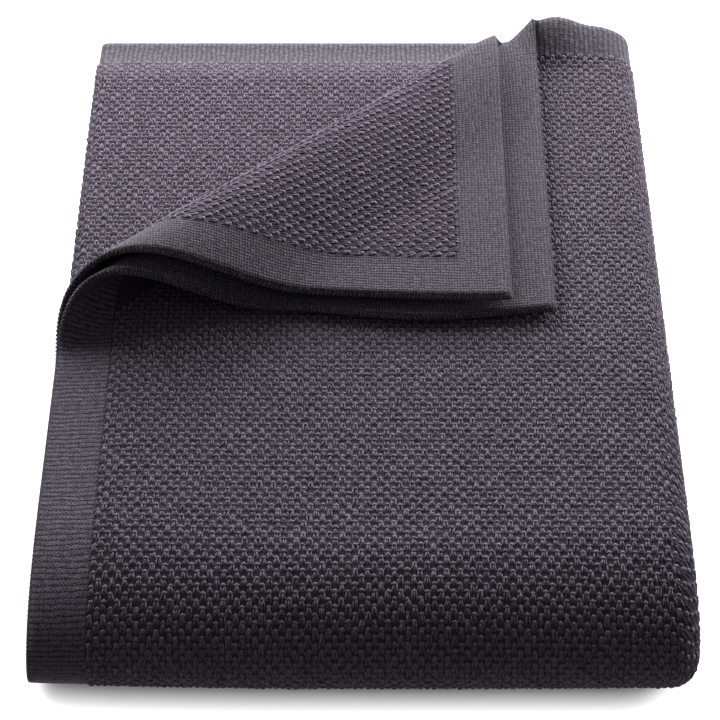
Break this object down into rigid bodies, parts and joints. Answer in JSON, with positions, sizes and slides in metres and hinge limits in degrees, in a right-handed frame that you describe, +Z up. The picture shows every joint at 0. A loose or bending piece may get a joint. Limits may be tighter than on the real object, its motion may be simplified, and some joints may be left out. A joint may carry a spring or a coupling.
{
  "type": "folded knitted throw blanket",
  "caption": "Cotton throw in pearl stitch with a plain knitted border, folded in layers with one back corner turned over.",
  "frame": {"origin": "Centre of the bounding box on the surface the blanket rests on.", "axes": "+Z is up. +Y runs from the rounded front fold to the open back edges. +X is to the right, seen from the front fold."},
  "size_m": [0.4274, 0.6852, 0.1283],
  "materials": {
    "knit_cotton": "matte knitted cotton"
  },
  "bodies": {
    "root": {"blanket": "knit_cotton"}
  },
  "joints": []
}
